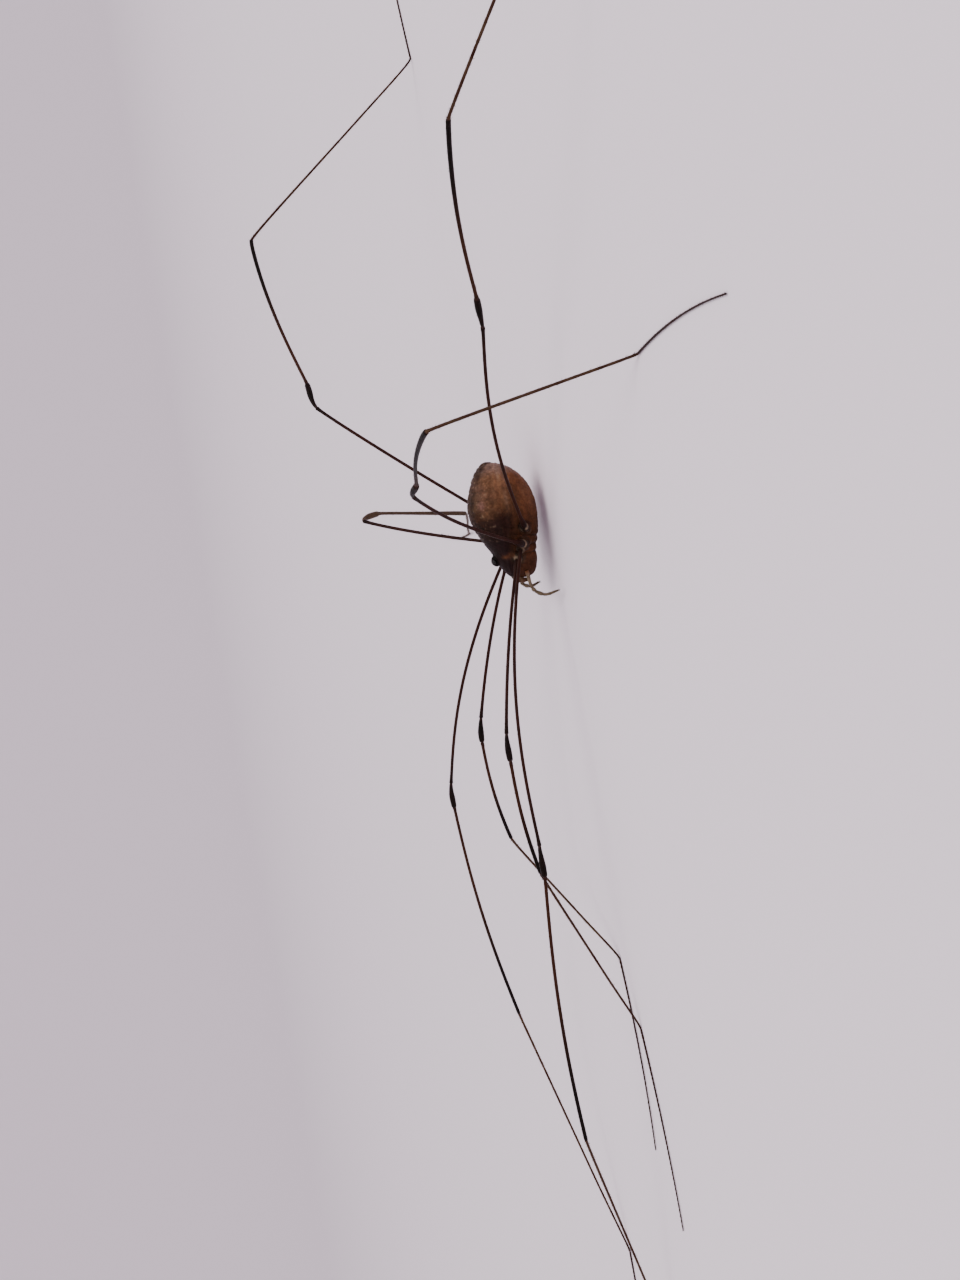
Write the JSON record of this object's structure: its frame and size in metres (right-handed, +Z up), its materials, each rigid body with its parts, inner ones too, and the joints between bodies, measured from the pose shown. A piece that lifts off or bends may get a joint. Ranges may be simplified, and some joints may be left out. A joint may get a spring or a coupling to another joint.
{
  "type": "harvestman",
  "caption": "Life-size harvestman model: egg-shaped brown body on long thread-thin dark legs, standing with its tarsi flat on the floor.",
  "frame": {"origin": "middle of the bounding box at floor level", "axes": "+X towards the head, +Y to the animal's left, +Z up from the floor"},
  "size_m": [0.1422, 0.0938, 0.0148],
  "materials": {
    "abdomen": "satin, mottled brown",
    "prosoma": "satin, dark purple-brown",
    "eye": "glossy black",
    "chelicera": "satin",
    "pedipalp": "satin, pale straw",
    "coxa": "satin, rust brown",
    "leg": "satin, dark red-brown",
    "leg_knee": "satin, near black",
    "leg_end": "satin, olive brown"
  },
  "bodies": {
    "root": {"abdomen": "abdomen", "prosoma": "prosoma", "ocularium": "prosoma", "eye_left": "eye", "eye_right": "eye", "chelicera_left": "chelicera", "chelicera_right": "chelicera", "pedipalp_left": "pedipalp", "pedipalp_right": "pedipalp", "leg_left_1_coxa": "coxa", "leg_left_1_femur": "leg", "leg_left_1_patella": "leg_knee", "leg_left_1_tibia": "leg", "leg_left_1_metatarsus": "leg_end", "leg_left_1_tarsus": "leg_end", "leg_left_2_coxa": "coxa", "leg_left_2_femur": "leg", "leg_left_2_patella": "leg_knee", "leg_left_2_tibia": "leg", "leg_left_2_metatarsus": "leg_end", "leg_left_2_tarsus": "leg_end", "leg_left_3_coxa": "coxa", "leg_left_3_femur": "leg", "leg_left_3_patella": "leg_knee", "leg_left_3_tibia": "leg", "leg_left_3_metatarsus": "leg_end", "leg_left_3_tarsus": "leg_end", "leg_left_4_coxa": "coxa", "leg_left_4_femur": "leg", "leg_left_4_patella": "leg_knee", "leg_left_4_tibia": "leg", "leg_left_4_metatarsus": "leg_end", "leg_left_4_tarsus": "leg_end", "leg_right_1_coxa": "coxa", "leg_right_1_femur": "leg", "leg_right_1_patella": "leg_knee", "leg_right_1_tibia": "leg", "leg_right_1_metatarsus": "leg_end", "leg_right_1_tarsus": "leg_end", "leg_right_2_coxa": "coxa", "leg_right_2_femur": "leg", "leg_right_2_patella": "leg_knee", "leg_right_2_tibia": "leg", "leg_right_2_metatarsus": "leg_end", "leg_right_2_tarsus": "leg_end", "leg_right_3_coxa": "coxa", "leg_right_3_femur": "leg", "leg_right_3_patella": "leg_knee", "leg_right_3_tibia": "leg", "leg_right_3_metatarsus": "leg_end", "leg_right_3_tarsus": "leg_end", "leg_right_4_coxa": "coxa", "leg_right_4_femur": "leg", "leg_right_4_patella": "leg_knee", "leg_right_4_tibia": "leg", "leg_right_4_metatarsus": "leg_end", "leg_right_4_tarsus": "leg_end"}
  },
  "joints": []
}
